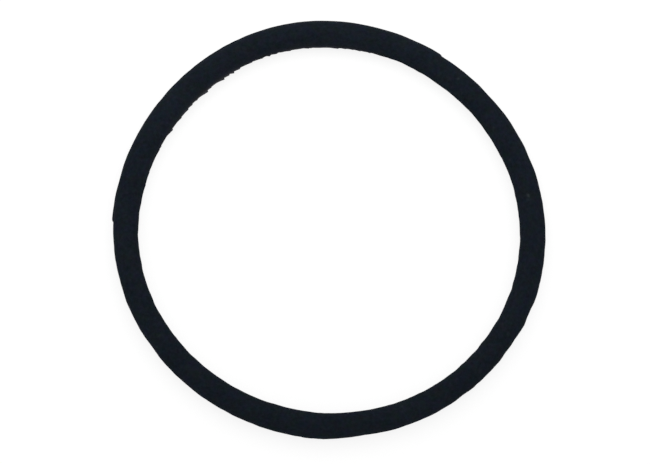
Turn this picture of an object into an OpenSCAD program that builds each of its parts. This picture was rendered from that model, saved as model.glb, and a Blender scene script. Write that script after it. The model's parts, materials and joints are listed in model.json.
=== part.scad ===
// Rubber o-ring, moulded in one piece, lying flat.
// The origin is the middle of the ring and +Z is the axis of its hole. Lengths are in millimetres.
// The mould's two halves met at mid-height, so the trimmed parting line runs round the hole
// and round the outside as a narrow flat land.

/* [Ring] */
// Width of the hole, across the land inside it
bore_d = 53.57; // [10:0.01:150]
// Thickness of the round rubber section
section_d = 3.53; // [2:0.01:8]

/* [Parting line] */
// Height of the trimmed land inside the hole
inner_land_h = 0.4; // [0.1:0.05:1]
// Height of the trimmed land round the outside
outer_land_h = 0.4; // [0.1:0.05:1]

/* [Hidden] */
// Facets round the ring and round its section
ring_fn = 256;
section_fn = 64;
section_r = section_d / 2;
// Half the width of the section, from its middle out to a land of height h
function half_width(h) = sqrt(pow(section_r, 2) - pow(h / 2, 2));
bore_r = bore_d / 2;
// Radius of the circle that the middle of the section follows
centre_r = bore_r + half_width(inner_land_h);
outer_r = centre_r + half_width(outer_land_h);

// The section as it leaves the mould: a full circle
module moulded_section() {
    translate([centre_r, 0]) circle(d = section_d, $fn = section_fn);
}

// What trimming leaves: nothing closer to the axis than the hole or further out than the rim
module trimmed_section() {
    intersection() {
        moulded_section();
        translate([bore_r, -section_r]) square([outer_r - bore_r, section_d]);
    }
}

module o_ring() {
    color([0.09, 0.11, 0.13]) rotate_extrude($fn = ring_fn) trimmed_section();
}

o_ring();
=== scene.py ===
# %% [markdown]
# # A rubber o-ring
# An o-ring is a loop of rubber with a round section, pressed out in a two-part mould. It lies in a
# groove and is squeezed, so the only shape that matters is the round section and the way it closes on
# itself. What tells a real one from a plain torus is what the mould and the years left behind: a parting
# line at mid-height, inside and outside, with a thin fin of flash where the rubber crept between the
# halves, trimmed cleanly in one place and torn in another, and edges that have been rubbed and pinched.
# Blender's own torus would give the round section and nothing else, so this lesson builds the ring as one
# surface of two angles, and gives it the dull, almost black skin of moulded rubber.

# %% Load the frame and measure the box
import json
import math

import bpy
import numpy as np
from mathutils import Matrix, Vector


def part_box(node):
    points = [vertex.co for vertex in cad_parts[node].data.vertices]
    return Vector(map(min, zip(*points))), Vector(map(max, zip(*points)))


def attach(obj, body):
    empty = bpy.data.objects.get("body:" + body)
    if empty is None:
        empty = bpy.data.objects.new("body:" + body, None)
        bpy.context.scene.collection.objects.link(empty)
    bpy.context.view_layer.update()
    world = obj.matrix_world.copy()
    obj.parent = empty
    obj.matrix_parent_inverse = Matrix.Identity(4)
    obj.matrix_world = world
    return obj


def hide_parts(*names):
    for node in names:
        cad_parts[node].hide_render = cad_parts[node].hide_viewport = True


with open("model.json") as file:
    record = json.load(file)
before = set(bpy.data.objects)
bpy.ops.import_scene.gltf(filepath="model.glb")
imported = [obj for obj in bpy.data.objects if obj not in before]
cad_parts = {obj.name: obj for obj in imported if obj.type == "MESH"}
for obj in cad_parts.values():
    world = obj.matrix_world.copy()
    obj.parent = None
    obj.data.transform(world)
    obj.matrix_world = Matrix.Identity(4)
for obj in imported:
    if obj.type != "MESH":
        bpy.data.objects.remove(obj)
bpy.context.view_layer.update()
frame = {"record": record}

MM = 0.001

# %% [markdown]
# ## The sizes of the ring
# Nothing is measured twice. The solid ring's record gives the radius of its hole and of its rim, and how
# tall the trimmed land is at each, and its box gives the thickness of the rubber. The middle of the
# section lies halfway between hole and rim, and a trimmed ring isn't quite round in section: each land
# cuts a sliver off the circle, so the section is a little narrower than it is tall.

# %% Take the ring's sizes from the frame
mount_sizes = {mount["name"]: mount["dims"] for mount in frame["record"]["mounts"]}
HOLE_R = mount_sizes["bore"]["r_mm"] * MM
OUTER_R = mount_sizes["rim"]["r_mm"] * MM
CENTRE_R = (HOLE_R + OUTER_R) / 2
LAND_X = (OUTER_R - HOLE_R) / 2
low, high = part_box("o_ring")
SECTION_R = high[2]
print(f"hole {2 * HOLE_R / MM:.2f} mm wide, rubber {2 * SECTION_R / MM:.2f} mm thick")
print(f"centre line at {CENTRE_R / MM:.3f} mm, lands {2 * LAND_X / MM:.3f} mm apart")

# %% [markdown]
# ## The camera
# The ring lies flat and the camera looks down on it from 73 degrees, from far off through a long lens, so
# the circle shows as an ellipse that is only a little flattened. The camera is turned about its own axis
# as well, which tips the ellipse's short axis 12 degrees from upright. A matrix made of the three
# directions right, up and back says all of that at once, and needs no aiming helper.

# %% Find the camera's directions
VIEW_AZIMUTH = math.radians(-11.77)
VIEW_ELEVATION = math.radians(73.16)
VIEW_ROLL = math.radians(11.77)


def camera_axes(azimuth, elevation, roll):
    """The camera's right, up and back directions, first level and then turned about back by roll."""
    back = np.array([math.sin(azimuth) * math.cos(elevation),
                     -math.cos(azimuth) * math.cos(elevation),
                     math.sin(elevation)])
    level_right = np.array([math.cos(azimuth), math.sin(azimuth), 0.0])
    level_up = np.cross(back, level_right)
    right = math.cos(roll) * level_right + math.sin(roll) * level_up
    up = math.cos(roll) * level_up - math.sin(roll) * level_right
    return right, up, back


right, up, back = camera_axes(VIEW_AZIMUTH, VIEW_ELEVATION, VIEW_ROLL)
print("camera looks along", (-back).round(3).tolist())

# %% [markdown]
# The lens follows from what it has to do. At its distance the ring's radius must cover a known number of
# pixels, and a lens draws a thing at focal length times size over distance, on a sensor whose width is
# the width of the picture. The ring isn't quite in the middle, so the lens is shifted by that little.

# %% Place the camera
PHOTO_W, PHOTO_H = 650, 464
RING_RADIUS_PX = 203.5
RING_CENTRE_PX = (329.6, 228.1)
SENSOR_W = 36.0
VIEW_DISTANCE = 20 * CENTRE_R

camera = bpy.data.objects.new("camera", bpy.data.cameras.new("camera"))
bpy.context.scene.collection.objects.link(camera)
bpy.context.scene.camera = camera
facing = Matrix(np.column_stack([right, up, back]).tolist()).to_4x4()
camera.matrix_world = Matrix.Translation(Vector((back * VIEW_DISTANCE).tolist())) @ facing
camera.data.sensor_width = SENSOR_W
camera.data.lens = SENSOR_W * (RING_RADIUS_PX * VIEW_DISTANCE / CENTRE_R) / PHOTO_W
camera.data.shift_x = (PHOTO_W / 2 - RING_CENTRE_PX[0]) / PHOTO_W
camera.data.shift_y = (RING_CENTRE_PX[1] - PHOTO_H / 2) / PHOTO_W
camera.data.clip_start = VIEW_DISTANCE / 100
camera.data.clip_end = VIEW_DISTANCE * 40
print(f"lens {camera.data.lens:.0f} mm at {VIEW_DISTANCE:.3f} m")

# %% [markdown]
# ## The light
# Black rubber shows its shape only by how softly it is lit. A wide soft panel hangs low beyond the ring
# and faces down, so the far stretch lies well under it and the near stretch only at its edge: the rubber
# is a little paler at the far side and falls off towards the near one. An even pale world fills the rest.
# Together they light a level surface at a strength of one, so each colour renders about as it is written.
# The panel's power isn't guessed either. A panel of power P glows with P / (pi * area), each bit of it
# lights a level surface at the origin with that glow times height squared over distance to the fourth,
# and a white surface shows the sum over pi. So the panel is cut into bits and their mean is taken.

# %% Light the ring
WORLD_LEVEL = 0.77
PANEL_LEVEL = 0.23
PANEL_SIDE = 0.30
PANEL_HEIGHT = 0.070
PANEL_SHIFT = -0.03
PANEL_BITS = 60

world = bpy.data.worlds.new("studio")
bpy.context.scene.world = world
world.use_nodes = True
world.node_tree.nodes["Background"].inputs["Color"].default_value = (1.0, 1.0, 1.0, 1.0)
world.node_tree.nodes["Background"].inputs["Strength"].default_value = WORLD_LEVEL

panel = bpy.data.objects.new("soft_panel", bpy.data.lights.new("soft_panel", "AREA"))
bpy.context.scene.collection.objects.link(panel)
panel.location = (PANEL_SHIFT, PANEL_SIDE / 2, PANEL_HEIGHT)
panel.data.shape = "SQUARE"
panel.data.size = PANEL_SIDE
panel.visible_camera = False
bits = (np.arange(PANEL_BITS) + 0.5) / PANEL_BITS * PANEL_SIDE
across, beyond = np.meshgrid(PANEL_SHIFT + bits - PANEL_SIDE / 2, bits)
mean_share = (PANEL_HEIGHT**2 / (across**2 + beyond**2 + PANEL_HEIGHT**2) ** 2).mean()
panel.data.energy = PANEL_LEVEL * math.pi**2 / mean_share
print(f"soft panel {panel.data.energy:.2f} W")

# %% [markdown]
# ## The floor
# The floor is a wide white sheet. A shadow is what makes the ring lie on something, so the sheet stays a
# real surface and keeps it. To the camera, and in a reflection, three quarters of it glows instead, as
# paper on a light table does. The glow makes up what the paper lacks under the pale world alone, so the
# open sheet adds up to white, the shadow stays soft, and no extra light falls on the ring.

# %% Make the paper
FLOOR_WHITE = 0.93
FLOOR_ROUGHNESS = 0.9
GLOW_SHARE = 0.75
GLOW_STRENGTH = (1 - (1 - GLOW_SHARE) * FLOOR_WHITE * WORLD_LEVEL) / GLOW_SHARE


def add(tree, kind, **settings):
    """A new node with its properties set by name."""
    node = tree.nodes.new(kind)
    for name, value in settings.items():
        setattr(node, name, value)
    return node


def make_floor_material():
    """White paper that looks pure white to the camera and still shows a shadow."""
    material = bpy.data.materials.new("white_paper")
    material.use_nodes = True
    tree = material.node_tree
    paper = tree.nodes["Principled BSDF"]
    paper.inputs["Base Color"].default_value = (FLOOR_WHITE, FLOOR_WHITE, FLOOR_WHITE, 1.0)
    paper.inputs["Roughness"].default_value = FLOOR_ROUGHNESS
    paper.inputs["Specular IOR Level"].default_value = 0.0
    glow = add(tree, "ShaderNodeEmission")
    glow.inputs["Strength"].default_value = GLOW_STRENGTH
    ray = add(tree, "ShaderNodeLightPath")
    share = ray.outputs["Is Camera Ray"]
    for kind in ("Is Glossy Ray", "Is Transmission Ray"):
        either = add(tree, "ShaderNodeMath", operation="MAXIMUM")
        tree.links.new(share, either.inputs[0])
        tree.links.new(ray.outputs[kind], either.inputs[1])
        share = either.outputs[0]
    seen = add(tree, "ShaderNodeMath", operation="MULTIPLY")
    seen.inputs[1].default_value = GLOW_SHARE
    both = add(tree, "ShaderNodeMixShader")
    tree.links.new(share, seen.inputs[0])
    tree.links.new(seen.outputs[0], both.inputs["Fac"])
    tree.links.new(paper.outputs[0], both.inputs[1])
    tree.links.new(glow.outputs[0], both.inputs[2])
    tree.links.new(both.outputs[0], tree.nodes["Material Output"].inputs["Surface"])
    return material


white_paper = make_floor_material()
print(f"paper {FLOOR_WHITE:.2f} white, with a glow of {GLOW_STRENGTH:.2f} over {GLOW_SHARE:.2f} of it")

# %% Lay the floor
FLOOR_R = 6.0
FLOOR_CORNERS = 64

floor_mesh = bpy.data.meshes.new("floor")
corner_angle = np.linspace(0, 2 * math.pi, FLOOR_CORNERS, endpoint=False)
floor_z = np.full(FLOOR_CORNERS, low[2])
floor_points = np.column_stack([FLOOR_R * np.cos(corner_angle), FLOOR_R * np.sin(corner_angle), floor_z])
floor_mesh.from_pydata(floor_points.tolist(), [], [list(range(FLOOR_CORNERS))])
floor_mesh.materials.append(white_paper)
floor = bpy.data.objects.new("floor", floor_mesh)
bpy.context.scene.collection.objects.link(floor)
print(f"floor at {low[2] / MM:.3f} mm")

# %% [markdown]
# ## A grid round the ring
# Any point on the skin is given by two angles. Turn says how far round the ring it is, from +X. Tilt says
# how far round the section, from the outside, over the top, to the inside and back below. Equal steps of
# tilt would give the fin of flash at mid-height a single row of points, so the steps are squeezed
# together at the outside and the inside and stretched over the top and the bottom, where the skin is
# smooth. Squeezing is one line: tilt = s - squeeze * sin(2 s) / 2.

# %% Make the two angles
TURN_STEPS = 1280
TILT_STEPS = 76
SQUEEZE = 0.85

turn_angle = np.linspace(0, 2 * math.pi, TURN_STEPS, endpoint=False)[:, None]
even_steps = np.linspace(0, 2 * math.pi, TILT_STEPS, endpoint=False)[None, :]
tilt_angle = even_steps - SQUEEZE * np.sin(2 * even_steps) / 2
height = SECTION_R * np.sin(tilt_angle)
print(f"{TURN_STEPS * TILT_STEPS * 2} triangles, {height[0, 1] / MM:.3f} mm apart at the parting line")

# %% [markdown]
# ## A ring that isn't quite round
# Rubber relaxes. Out of its packet and off the shaft, the loop keeps a faint triangular and square lean,
# an eighth of a millimetre either way. Four cosines of the turn, each with its own number of lobes, carry
# the centre line in and out. A table of radii would do it too, but it would hide how simple the shape is.

# %% Bend the centre line
# Number of lobes, how far they reach in mm, and where they start in degrees
LOBES = (
    (2, 0.03, -144),
    (3, 0.13, 85),
    (4, 0.086, -20),
    (5, 0.028, 166),
)


def centre_line(turn):
    """Radius of the section's middle: the true one plus reach * cos(count * turn + start) for each lobe."""
    radius = np.full_like(turn, CENTRE_R)
    for count, lobe_reach, start in LOBES:
        radius += lobe_reach * MM * np.cos(count * turn + math.radians(start))
    return radius


line_r = centre_line(turn_angle)
print(f"centre line {line_r.min() / MM:.2f} to {line_r.max() / MM:.2f} mm")

# %% [markdown]
# ## Worn and flattened stretches
# The outside of the ring has a row of shallow flats at the lower right, as if it had been pinched, and
# both edges are a little uneven elsewhere. They could be sculpted, but a table of turn and depth for each
# side can be read and changed. A flat takes in the whole half of the section and not just its edge, so
# the tables are spread over the section by the cosine of the tilt. Straight lines between the entries
# give the blunt corners that pinched rubber has. A smooth curve through them would look like a wave.

# %% Press the flats in
# Turn in degrees, and how far the outer skin stands out there, in mm, less than nothing where it is flat
OUTER_FLATS = (
    (0, 0.05), (7, 0.0), (13, 0.10), (20, 0.02), (24, 0.09), (27, 0.02), (31, 0.08), (36, 0.0),
    (98, 0.05), (117, -0.02), (145, 0.02), (172, -0.02), (188, -0.11), (203, -0.08), (208, -0.02),
    (213, -0.08), (222, 0.02), (227, -0.07), (231, 0.0), (239, -0.06), (243, 0.04), (249, -0.07),
    (252, 0.0), (258, 0.01), (268, 0.11), (276, -0.12), (279, -0.14), (283, -0.13), (287, -0.03),
    (298, 0.02), (309, -0.06), (311, 0.01), (315, -0.06), (321, 0.0), (323, -0.06), (328, -0.06),
    (333, 0.06), (335, -0.05), (341.5, 0.13), (352, 0.02), (357, 0.08),
)
# The same for the skin inside the hole, where a positive value narrows the hole
INNER_FLATS = (
    (0, -0.06), (11, 0.02), (17, -0.05), (22, 0.04), (46, 0.0), (49, 0.08), (72, 0.0), (200, 0.01),
    (212, -0.03), (247, 0.08), (284, -0.01), (289, -0.10), (297, -0.05), (306, -0.10), (320, -0.02),
    (350, 0.02),
)


def around(turn, table, unit=MM):
    """Reads a table of (degrees, value) all the way round the ring, in straight lines between entries."""
    degrees, value = np.array(table).T
    return np.interp(np.degrees(turn), degrees, value * unit, period=360)


outer_flats = around(turn_angle, OUTER_FLATS)
inner_flats = around(turn_angle, INNER_FLATS)
print(f"flats up to {-outer_flats.min() / MM:.2f} mm deep outside, {-inner_flats.min() / MM:.2f} mm inside")

# %% [markdown]
# Years of handling add a ragged line of their own, a few hundredths of a millimetre deep, with a corner
# every millimetre or two. Here chance does what no table should: it picks the corners and their heights,
# always from the same seed. The line is faintest at the top of the outside, where the flash that still
# stands has kept the skin from being rubbed.

# %% Rub the skin
OUTER_RUB = ((0, 0.07), (58, 0.07), (66, 0.03), (100, 0.02), (140, 0.03), (178, 0.07), (330, 0.07))
INNER_RUB = ((0, 0.09), (60, 0.07), (75, 0.06), (178, 0.06), (235, 0.09), (330, 0.09))
RUB_SPACING = (0.9 * MM, 2.2 * MM)
chance = np.random.default_rng(3)


def random_places(radius, spacing):
    """Angles round a circle whose steps along it are random lengths between the two spacings."""
    gaps = chance.uniform(*spacing, size=int(2 * math.pi * radius / min(spacing)))
    places = np.cumsum(gaps) / radius
    return places[places < 2 * math.pi]


def ragged_line(turn, radius, spacing):
    """Random heights from 0 to 1 at random places round a circle, joined by straight lines."""
    places = random_places(radius, spacing)
    return np.interp(turn, places, chance.uniform(0, 1, size=len(places)), period=2 * math.pi)


outer_rub = around(turn_angle, OUTER_RUB) * (ragged_line(turn_angle, OUTER_R, RUB_SPACING) - 0.5)
inner_rub = around(turn_angle, INNER_RUB) * (ragged_line(turn_angle, HOLE_R, RUB_SPACING) - 0.5)
outer_share = np.clip(np.cos(tilt_angle), 0, 1)
inner_share = np.clip(-np.cos(tilt_angle), 0, 1)
wear = (outer_flats + outer_rub) * outer_share - (inner_flats + inner_rub) * inner_share
print(f"worn skin moves {wear.min() / MM:.2f} to {wear.max() / MM:.2f} mm")

# %% [markdown]
# ## Flash at the parting line
# Where the two halves of the mould didn't quite meet, the rubber left a fin less than a tenth of a
# millimetre thick at its edge. Outside it still stands over a third of the way round, and ends in two
# sharp steps where the trimmer stopped. A fin could be a separate strip, but it grew out of the same
# rubber, so it is part of the same skin: each row of points near mid-height is moved out by a share of
# the fin's reach, from all of it at the blunt edge to none at the root.

# %% Shape the fins
FIN_HALF_TIP = 0.03 * MM
FIN_HALF_ROOT = 0.10 * MM
# Turn in degrees, and how far the fin's edge stands past the land, in mm
OUTER_FIN = (
    (0, 0.0), (54, 0.02), (57.7, 0.07), (58.2, 0.21), (61, 0.27), (65, 0.20), (70, 0.22), (75, 0.17),
    (92, 0.22), (119, 0.22), (139, 0.14), (148, 0.06), (153.5, 0.12), (161, 0.09), (165, 0.03),
    (174, 0.08), (178.1, 0.16), (178.5, 0.13), (178.9, -0.04), (260, 0.03), (276, -0.01),
)
INNER_FIN = (
    (0, 0.0), (71, 0.08), (92.5, 0.28), (94.5, 0.20), (97.5, 0.15), (101.5, 0.22), (104.2, 0.16),
    (105.2, 0.07), (106, 0.11), (112, 0.08), (120, 0.14), (133, 0.15), (136, 0.10), (141, 0.19),
    (151, 0.08), (165, 0.14), (180, 0.0),
)


def fin_share(z):
    """1 across the fin's blunt edge, easing to 0 at its root as the height above mid-line grows."""
    t = np.clip((np.abs(z) - FIN_HALF_TIP) / (FIN_HALF_ROOT - FIN_HALF_TIP), 0, 1)
    return 1 - t * t * (3 - 2 * t)


outer_fin = around(turn_angle, OUTER_FIN)
inner_fin = around(turn_angle, INNER_FIN)
print(f"{(fin_share(height) > 0).sum()} rows of points carry the two fins")

# %% [markdown]
# Inside, the flash was torn off by hand along the same stretch, which left teeth a millimetre or two
# apart. Each tooth starts with a sudden step and runs out in a slope, because rubber tears in little
# jerks, always to the same side. Cutting them out of a finished fin would leave ragged faces. Here a
# table says where the teeth are, and a formula gives their shape.

# %% Tear the inner flash
# Where each tooth starts in degrees, how far it stands out in mm, and over how many degrees it runs out
TEETH = (
    (77.0, 0.08, 1.0), (80.1, 0.10, 1.6), (82.3, 0.06, 1.0), (84.4, 0.08, 1.4), (86.9, 0.10, 2.4),
    (94.8, 0.07, 2.2), (95.9, 0.11, 1.8), (101.3, 0.09, 1.8), (105.7, 0.08, 1.5), (107.8, 0.20, 1.2),
    (110.2, 0.09, 1.6), (113.7, 0.10, 2.2), (118.0, 0.16, 2.0), (120.2, 0.26, 1.3), (122.0, 0.14, 2.0),
    (123.9, 0.25, 2.6), (128.6, 0.09, 2.0), (130.4, 0.23, 2.8), (134.5, 0.12, 1.0), (136.8, 0.12, 1.4),
    (138.7, 0.13, 1.8), (142.1, 0.09, 2.2), (147.0, 0.17, 2.8), (153.3, 0.10, 1.0), (154.6, 0.06, 2.0),
    (162.3, 0.05, 3.0), (166.6, 0.05, 1.5),
)


def torn_teeth(turn, rows):
    """The tallest tooth at each turn: stand * (1 - way on / run) past its start, and 0 before it."""
    start, stand, run = np.array(rows).T
    way_on = np.degrees(turn) - start
    tooth = stand * MM * np.clip(1 - way_on / run, 0, 1) * (way_on >= 0)
    return tooth.max(axis=1, keepdims=True)


inner_fin = inner_fin + torn_teeth(turn_angle, TEETH)
print(f"{len(TEETH)} teeth, torn flash up to {inner_fin.max() / MM:.2f} mm")

# %% [markdown]
# Where the flash was trimmed, the knife skipped and left finer marks of its own on the land. They are
# ragged lines again, with their corners closer together than those of the rubbing, and they only ever
# stand out, because a mark is rubber that the knife left behind.

# %% Leave the knife's marks
# Turn in degrees, and the height of the marks in mm
OUTER_MARKS = (
    (0, 0.06), (62, 0.05), (72, 0.02), (98, 0.02), (115, 0.04), (150, 0.06), (178, 0.06), (190, 0.09),
    (260, 0.09), (275, 0.06),
)
INNER_MARKS = ((0, 0.09), (105, 0.10), (118, 0.08), (130, 0.05), (170, 0.06), (185, 0.08), (330, 0.09))
MARK_SPACING = (0.5 * MM, 1.4 * MM)

outer_marks = around(turn_angle, OUTER_MARKS) * ragged_line(turn_angle, OUTER_R, MARK_SPACING)
inner_marks = around(turn_angle, INNER_MARKS) * ragged_line(turn_angle, HOLE_R, MARK_SPACING)
outer_edge = (outer_fin + outer_marks) * (outer_share > 0)
inner_edge = (inner_fin + inner_marks) * (inner_share > 0)
fins = fin_share(height) * (outer_edge - inner_edge)
print(f"flash and marks up to {outer_edge.max() / MM:.2f} mm high outside")
print(f"flash and marks up to {inner_edge.max() / MM:.2f} mm high inside")

# %% [markdown]
# ## The mould's own finish
# The mould was stoned by hand, so the skin has faint dips, one or two hundredths of a millimetre deep.
# They can't be seen as shapes, but they are what breaks up the light along a real ring. A bump in the
# material would do for a picture, but a dip that is millimetres wide belongs in the mesh. Each is a sine
# that winds round the ring and round the section at once, so none of them lines up with the grid.

# %% Press the mould's dips in
# Depth in mm, waves round the ring, waves round the section, and where the waves start
DIPS = (
    (0.010, 23, 1, 0.4),
    (0.007, 41, -2, 2.1),
    (0.005, 67, 3, 5.0),
    (0.003, 131, -4, 1.3),
)


def dips(turn, tilt):
    """Sum of depth * sin(a * turn + b * tilt + start) over the table above, in metres."""
    return sum(depth * MM * np.sin(a * turn + b * tilt + start) for depth, a, b, start in DIPS)


skin = dips(turn_angle, tilt_angle)
print(f"dips from {skin.min() / MM:.3f} to {skin.max() / MM:.3f} mm")

# %% [markdown]
# ## The skin
# Now everything comes together in one formula. The section's outline is a circle whose two sides are cut
# off at the lands. The wear and the fins are added to how far each point lies from the section's middle,
# and the centre line to that, which gives the distance from the axis, and the turn swings it round.

# %% Work out every point of the skin
section_x = np.clip((SECTION_R + skin) * np.cos(tilt_angle), -LAND_X, LAND_X)
section_z = (SECTION_R + np.minimum(skin, 0)) * np.sin(tilt_angle)
distance = line_r + section_x + wear + fins
ring_points = np.stack([distance * np.cos(turn_angle), distance * np.sin(turn_angle),
                        np.broadcast_to(section_z, distance.shape)], axis=2).reshape(-1, 3)
print(f"ring {np.ptp(ring_points[:, 0]) / MM:.2f} x {np.ptp(ring_points[:, 1]) / MM:.2f} mm")

# %% [markdown]
# The grid closes on itself both ways, so it has no seam and no pole: the last row's neighbour is the
# first. A torus with a displacement would close just as well, but its rows wouldn't lie where the fin
# needs them, and a loop over a hundred thousand quads would be slow. So whole arrays go straight into
# the mesh.

# %% Build the ring's mesh


def grid_faces(rows, columns):
    """Quads of a grid that closes on itself both ways, wound so that they face outwards."""
    i, j = np.meshgrid(np.arange(rows), np.arange(columns), indexing="ij")
    i_next, j_next = (i + 1) % rows, (j + 1) % columns
    corners = (i * columns + j, i_next * columns + j, i_next * columns + j_next, i * columns + j_next)
    return np.stack([corner.ravel() for corner in corners], axis=1)


def make_mesh(name, points, quads):
    """A mesh from arrays of points and quads, smooth all over."""
    mesh = bpy.data.meshes.new(name)
    mesh.vertices.add(len(points))
    mesh.vertices.foreach_set("co", points.astype(np.float32).ravel())
    mesh.loops.add(quads.size)
    mesh.loops.foreach_set("vertex_index", quads.astype(np.int32).ravel())
    mesh.polygons.add(len(quads))
    mesh.polygons.foreach_set("loop_start", np.arange(0, quads.size, 4, dtype=np.int32))
    mesh.update(calc_edges=True)
    mesh.polygons.foreach_set("use_smooth", np.ones(len(quads), dtype=bool))
    mesh.validate()
    return mesh


ring_mesh = make_mesh("rubber_ring", ring_points, grid_faces(TURN_STEPS, TILT_STEPS))
ring = bpy.data.objects.new("rubber_ring", ring_mesh)
bpy.context.scene.collection.objects.link(ring)
print(f"{len(ring_mesh.vertices)} points and {len(ring_mesh.polygons)} quads in one closed skin")

# %% [markdown]
# ## Torn rubber
# Moulded skin is smooth and black, but where rubber was torn its surface is rough and scatters light, so
# it looks grey. The torn flash inside the ring is grey, most of all where the largest teeth are. A second
# material would stop at a line, and this fades into the skin, so each point of the mesh keeps a share of
# torn rubber as an attribute. One part of the share runs out between the edge of the flash and its root,
# and the rest fades up and down the wall. Both depend on height alone, so no tooth leaves a step in them.

# %% Grey the torn flash
# Turn in degrees, and the share of torn rubber at the edge of the flash
INNER_TORN = (
    (68, 0.0), (80, 0.18), (95, 0.27), (117, 0.30), (122, 0.60), (138, 0.52), (144, 0.30), (158, 0.18),
    (168, 0.0),
)
TORN_ON_FLASH = 0.6
TORN_REACH = 0.4 * MM


def torn_share(z):
    """1 at mid-height: one part falls with the fin's own share, the rest as exp(-height / reach)."""
    return TORN_ON_FLASH * fin_share(z) + (1 - TORN_ON_FLASH) * np.exp(-np.abs(z) / TORN_REACH)


torn = around(turn_angle, INNER_TORN, 1) * torn_share(height) * (inner_share > 0)
torn_skin = ring_mesh.attributes.new("torn", "FLOAT", "POINT")
torn_skin.data.foreach_set("value", torn.astype(np.float32).ravel())
print(f"torn rubber shows on {(torn > 0.05).mean():.3f} of the points")

# %% [markdown]
# ## Specks of dust
# Rubber holds dust. A pale speck shows on the right of the ring and a fainter one at its upper right, and
# a few more are so faint that they may be nothing. A noise would put them everywhere, and these have
# their places, so each speck is a row of a table. The stray ones, on the sides and below, are made up, and
# come from the same chance as before. How much each point of the mesh is covered is worked out once and
# kept on it as an attribute.

# %% Scatter the dust
# Turn and tilt in degrees, reach in mm, and how much of the skin each speck hides
SPECKS = (
    (9.4, 98, 0.15, 0.26), (9.0, 98, 0.15, 0.26), (8.0, 103, 0.22, 0.08), (49.8, 96, 0.16, 0.18),
    (21.0, 134, 0.18, 0.09), (290.5, 116, 0.20, 0.06), (327.6, 69, 0.22, 0.06), (329.3, 117, 0.22, 0.06),
    (314.6, 61, 0.25, 0.06), (55.1, 134, 0.20, 0.06), (4.5, 68, 0.20, 0.06), (32.0, 127, 0.20, 0.06),
    (214.3, 78, 0.24, 0.06),
)
# The same four for the stray specks, each from and to
STRAY_RANGES = ((0, 360), (180, 400), (0.08, 0.2), (0.03, 0.15))
STRAY_COUNT = 90


def stray_specks(count, ranges):
    """Rows like those of the table, each of their four numbers at random between two limits."""
    return np.column_stack([chance.uniform(*limits, count) for limits in ranges])


def on_ring(turn, tilt):
    """Points of a plain ring: centre + section * cos(tilt) from the axis, section * sin(tilt) up."""
    from_axis = CENTRE_R + SECTION_R * np.cos(tilt)
    up_from_middle = SECTION_R * np.sin(tilt)
    return np.stack([from_axis * np.cos(turn), from_axis * np.sin(turn), up_from_middle], axis=-1)


def dust_share(points, specks):
    """Share of dust at each point: the largest of share * exp(-(distance / reach)^2) over all specks."""
    turn, tilt, reach, share = specks.T
    places = on_ring(np.radians(turn), np.radians(tilt))
    apart = np.linalg.norm(points[:, None, :] - places[None, :, :], axis=2)
    return (share * np.exp(-(apart / (reach * MM)) ** 2)).max(axis=1)


all_specks = np.vstack([SPECKS, stray_specks(STRAY_COUNT, STRAY_RANGES)])
covered = dust_share(ring_points, all_specks)
dust = ring_mesh.attributes.new("dust", "FLOAT", "POINT")
dust.data.foreach_set("value", covered.astype(np.float32))
print(f"{len(all_specks)} specks of dust, the thickest hides {covered.max():.2f} of the skin")

# %% [markdown]
# ## Moulded rubber
# The compound is black with a breath of blue. Carbon black swallows nearly all the light, and hardly any
# gloss shows, so the skin reads as soft black. A single flat colour would look like paint. A bloom of wax
# and a trace of oil can shift the tone of such rubber from place to place, here towards teal or violet
# and towards blue or olive, and carbon is never mixed in quite evenly, which gives fine clouds and a slow
# drift of lighter and darker. These are noises in the ring's own coordinates, each at its real scale, so
# they stay put when the ring is seen from another side. First come three small tools for noises, ranges
# and mixes. Most of a noise lies between three and seven tenths, so each range starts from those.

# %% Make tools for the skin's patterns
NOISE_RANGE = (0.3, 0.7)


def noise(tree, place, size_mm, detail, roughness):
    """A noise with blotches about size_mm across and finer layers, each roughness times the last."""
    node = add(tree, "ShaderNodeTexNoise")
    node.inputs["Scale"].default_value = 1 / (size_mm * MM)
    node.inputs["Detail"].default_value = detail
    node.inputs["Roughness"].default_value = roughness
    tree.links.new(place, node.inputs["Vector"])
    return node.outputs["Fac"]


def spread(tree, value, from_range, to_range):
    """Maps a value in a straight line from one range to another, and holds it there."""
    node = add(tree, "ShaderNodeMapRange", clamp=True)
    for socket, number in zip(("From Min", "From Max", "To Min", "To Max"), (*from_range, *to_range)):
        node.inputs[socket].default_value = number
    tree.links.new(value, node.inputs["Value"])
    return node.outputs["Result"]


def blend_colours(tree, share, first, second, way="MIX"):
    """Mixes two colours, each a socket or three numbers, by a share that is a socket or a number."""
    node = add(tree, "ShaderNodeMix", data_type="RGBA", blend_type=way)
    for socket, value in zip((node.inputs[6], node.inputs[7]), (first, second)):
        if isinstance(value, tuple):
            socket.default_value = (*value, 1.0)
        else:
            tree.links.new(value, socket)
    if isinstance(share, float):
        node.inputs[0].default_value = share
    else:
        tree.links.new(share, node.inputs[0])
    return node.outputs[2]


print("a noise is spread from", NOISE_RANGE)

# %% [markdown]
# The colour is built up as the skin is. Bloom chooses between teal and violet, oil between blue and
# olive, and the two are mixed about half and half over a little of the plain compound. Clouds and drift
# then multiply it, a third darker or lighter at most. Dust lies on top of everything.

# %% Mix the rubber's colour
RUBBER = (0.0080, 0.0112, 0.0160)
TEAL = (0.0050, 0.0128, 0.0136)
VIOLET = (0.0110, 0.0098, 0.0178)
BLUE = (0.0074, 0.0102, 0.0232)
OLIVE = (0.0086, 0.0122, 0.0102)
TORN = (0.100, 0.095, 0.105)
DUST = (0.088, 0.105, 0.112)
# Size of the blotches in mm, layers of finer ones on them, and how strong each is next to the last
CLOUDS = (0.5, 5.0, 0.75)
DRIFT = (5.0, 1.0, 0.5)
BLOOM = (0.9, 4.0, 0.7)
OIL = (1.4, 4.0, 0.7)
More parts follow.
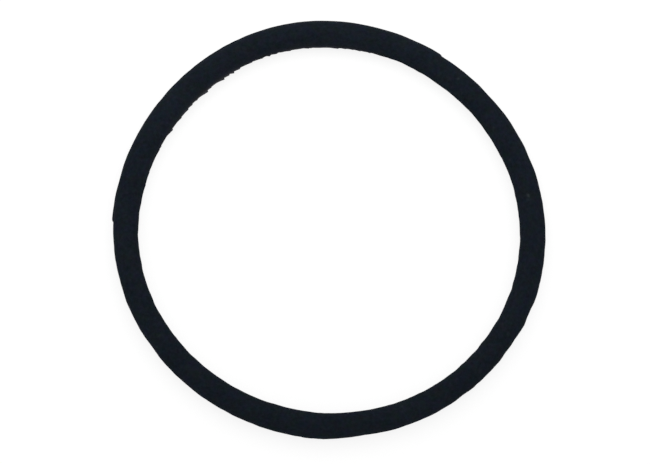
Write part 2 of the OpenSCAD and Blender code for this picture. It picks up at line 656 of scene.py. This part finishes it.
# How far the clouds and the drift darken and lighten the compound
CLOUD_REACH = (0.66, 1.36)
DRIFT_REACH = (0.93, 1.07)
# How much of the noise it takes to go from one film to the other, and how much of each film shows
FILM_RANGE = (0.35, 0.65)
OIL_SHARE = 0.45
FILM_SHARE = 0.95


def mottle(tree, place):
    """How much lighter or darker each spot is: fine clouds times a slow drift, as a grey colour."""
    clouds = spread(tree, noise(tree, place, *CLOUDS), NOISE_RANGE, CLOUD_REACH)
    drift = spread(tree, noise(tree, place, *DRIFT), NOISE_RANGE, DRIFT_REACH)
    both = add(tree, "ShaderNodeMath", operation="MULTIPLY")
    tree.links.new(clouds, both.inputs[0])
    tree.links.new(drift, both.inputs[1])
    grey = add(tree, "ShaderNodeCombineColor")
    for channel in ("Red", "Green", "Blue"):
        tree.links.new(both.outputs[0], grey.inputs[channel])
    return grey.outputs[0]


def rubber_colour(tree, place):
    """The compound with its bloom and oil, times the mottle, then torn rubber, and dust on top."""
    bloom = spread(tree, noise(tree, place, *BLOOM), FILM_RANGE, (0.0, 1.0))
    oil = spread(tree, noise(tree, place, *OIL), FILM_RANGE, (0.0, 1.0))
    bloom_tone = blend_colours(tree, bloom, TEAL, VIOLET)
    oil_tone = blend_colours(tree, oil, BLUE, OLIVE)
    film = blend_colours(tree, OIL_SHARE, bloom_tone, oil_tone)
    colour = blend_colours(tree, FILM_SHARE, RUBBER, film)
    colour = blend_colours(tree, 1.0, colour, mottle(tree, place), "MULTIPLY")
    edges = add(tree, "ShaderNodeAttribute", attribute_name="torn")
    colour = blend_colours(tree, edges.outputs["Fac"], colour, TORN)
    specks = add(tree, "ShaderNodeAttribute", attribute_name="dust")
    return blend_colours(tree, specks.outputs["Fac"], colour, DUST)


print("plain compound:", RUBBER)

# %% [markdown]
# Gloss is the last part of a finish. The rubber is rough all over, and a little less so in patches, as
# if handled. Its specular level is far below that of most rubber: more of it was tried, and turned the
# rims paler than they are on this dull ring. The grain, a sixth of a millimetre across and a hundredth
# deep, is too fine for the mesh and is left to the shader as a bump.

# %% Finish the rubber
# Size, layers and strength as for the clouds
HANDLING = (1.3, 3.0, 0.5)
GRAIN = (0.16, 2.0, 0.6)
GRAIN_DEPTH = 0.01 * MM
GRAIN_STRENGTH = 0.35
ROUGHNESS_REACH = (0.64, 0.80)
SPECULAR = 0.01


def make_rubber():
    """Near-black moulded rubber: mottled colour, uneven roughness and a fine grain."""
    material = bpy.data.materials.new("moulded_rubber")
    material.use_nodes = True
    tree = material.node_tree
    shader = tree.nodes["Principled BSDF"]
    place = add(tree, "ShaderNodeTexCoord").outputs["Object"]
    tree.links.new(rubber_colour(tree, place), shader.inputs["Base Color"])
    handled = spread(tree, noise(tree, place, *HANDLING), NOISE_RANGE, ROUGHNESS_REACH)
    tree.links.new(handled, shader.inputs["Roughness"])
    shader.inputs["Specular IOR Level"].default_value = SPECULAR
    grain = add(tree, "ShaderNodeBump")
    grain.inputs["Strength"].default_value = GRAIN_STRENGTH
    grain.inputs["Distance"].default_value = GRAIN_DEPTH
    tree.links.new(noise(tree, place, *GRAIN), grain.inputs["Height"])
    tree.links.new(grain.outputs["Normal"], shader.inputs["Normal"])
    return material


ring_mesh.materials.append(make_rubber())
print("ring material:", ring_mesh.materials[0].name)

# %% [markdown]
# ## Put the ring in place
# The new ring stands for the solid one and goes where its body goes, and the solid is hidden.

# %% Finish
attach(ring, "root")
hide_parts("o_ring")
bpy.context.scene.view_settings.view_transform = "Standard"
